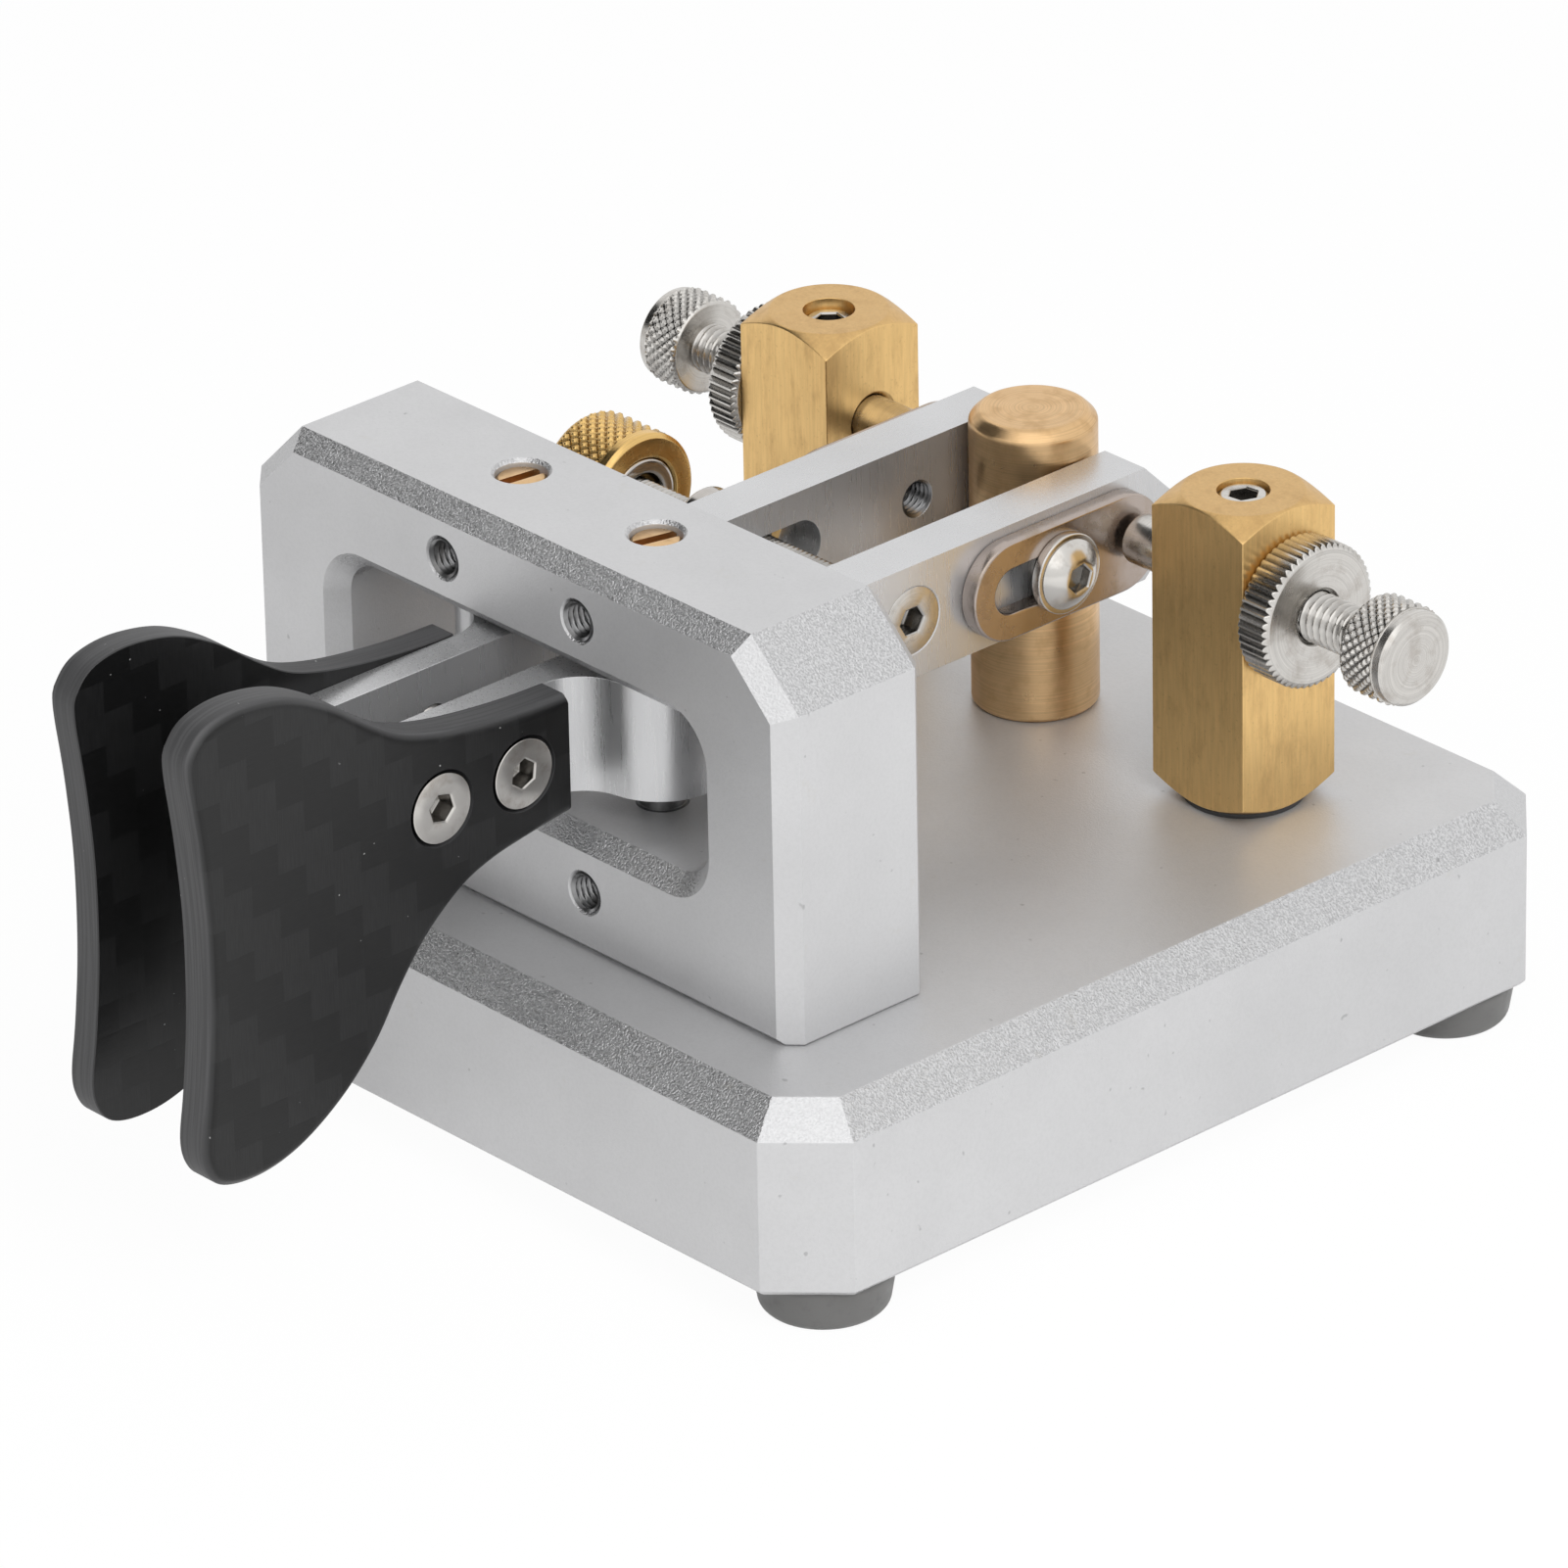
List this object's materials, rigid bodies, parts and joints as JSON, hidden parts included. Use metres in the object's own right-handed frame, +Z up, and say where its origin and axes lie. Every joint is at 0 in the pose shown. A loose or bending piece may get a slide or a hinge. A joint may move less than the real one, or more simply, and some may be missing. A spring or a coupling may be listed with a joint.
{
  "type": "double paddle morse key",
  "caption": "Double paddle morse key: finger levers pivot in a windowed yoke and close screw-set contacts, with magnet tension, on a square metal base.",
  "frame": {"origin": "middle of the overall box, on the surface that the feet stand on", "axes": "+X to the operator's right, +Y from the finger pieces to the back, +Z up"},
  "size_m": [0.083, 0.1096, 0.0514],
  "materials": {
    "blasted_aluminium": "fine sand-blasted and clear anodised",
    "machined_aluminium": "milled and clear anodised, fine tool marks",
    "satin_brass": "turned or milled, lightly tarnished",
    "bright_steel": "nickel-plated, turned",
    "dark_steel": "oiled dark steel",
    "magnet_nickel": "nickel-plated magnet",
    "carbon_laminate": "woven carbon laminate, semi-gloss",
    "black_plastic": "matt",
    "white_nylon": "natural nylon",
    "clear_rubber": "translucent grey, moulded",
    "wire_insulation": "soft plastic insulation"
  },
  "bodies": {
    "base": {"base_plate": "blasted_aluminium", "rubber_feet": "clear_rubber", "yoke": "blasted_aluminium", "yoke_screws": "dark_steel", "pivot_screws": "satin_brass", "lower_pivot_pins": "dark_steel", "pivot_lock_screws": "dark_steel", "centre_post": "satin_brass", "right_contact_post": "satin_brass", "left_contact_post": "satin_brass", "insulating_washers": "black_plastic", "insulating_bushes": "white_nylon", "post_screws": "bright_steel", "ring_terminals": "bright_steel", "post_grub_screws": "bright_steel", "jack_socket": "black_plastic", "jack_ring_nut": "bright_steel", "internal_wires": "wire_insulation"},
    "right_lever": {"right_lever": "machined_aluminium", "right_finger_piece": "carbon_laminate", "right_finger_screws": "bright_steel", "right_contact_plate": "satin_brass", "right_plate_washer": "bright_steel", "right_plate_screw": "bright_steel", "tension_screw": "bright_steel"},
    "left_lever": {"left_lever": "machined_aluminium", "left_finger_piece": "carbon_laminate", "left_finger_screws": "bright_steel", "left_contact_plate": "satin_brass", "left_plate_washer": "bright_steel", "left_plate_screw": "bright_steel", "lever_magnet": "magnet_nickel"},
    "tension_nut": {"tension_nut": "satin_brass", "nut_magnet": "magnet_nickel"},
    "right_contact_screw": {"right_contact_screw": "bright_steel"},
    "left_contact_screw": {"left_contact_screw": "bright_steel"},
    "right_lock_nut": {"right_lock_nut": "bright_steel"},
    "left_lock_nut": {"left_lock_nut": "bright_steel"}
  },
  "joints": [
    {"name": "right_lever_pivot", "type": "hinge", "parent": "base", "child": "right_lever", "pos_m": [0.0075, -0.00915, 0.0362], "axis": [0, 0, -1], "range_deg": [0, 0.5], "stiffness_Nm_per_rad": 0.1, "springref_deg": -6.88},
    {"name": "left_lever_pivot", "type": "hinge", "parent": "base", "child": "left_lever", "pos_m": [-0.0075, -0.00915, 0.0362], "axis": [0, 0, 1], "range_deg": [0, 0.5], "stiffness_Nm_per_rad": 0.1, "springref_deg": -6.88},
    {"name": "tension_nut_travel", "type": "slide", "parent": "right_lever", "child": "tension_nut", "axis": [-1, 0, 0], "range_m": [-0.003, 0.0025]},
    {"name": "right_contact_screw_travel", "type": "slide", "parent": "base", "child": "right_contact_screw", "axis": [1, 0, 0], "range_m": [0, 0.003]},
    {"name": "left_contact_screw_travel", "type": "slide", "parent": "base", "child": "left_contact_screw", "axis": [-1, 0, 0], "range_m": [0, 0.003]},
    {"name": "right_lock_nut_turn", "type": "hinge", "parent": "base", "child": "right_lock_nut", "pos_m": [0.0295, 0.03635, 0.0367], "axis": [1, 0, 0], "range_deg": [0, 360]},
    {"name": "left_lock_nut_turn", "type": "hinge", "parent": "base", "child": "left_lock_nut", "pos_m": [-0.0295, 0.03635, 0.0367], "axis": [-1, 0, 0], "range_deg": [0, 360]}
  ]
}
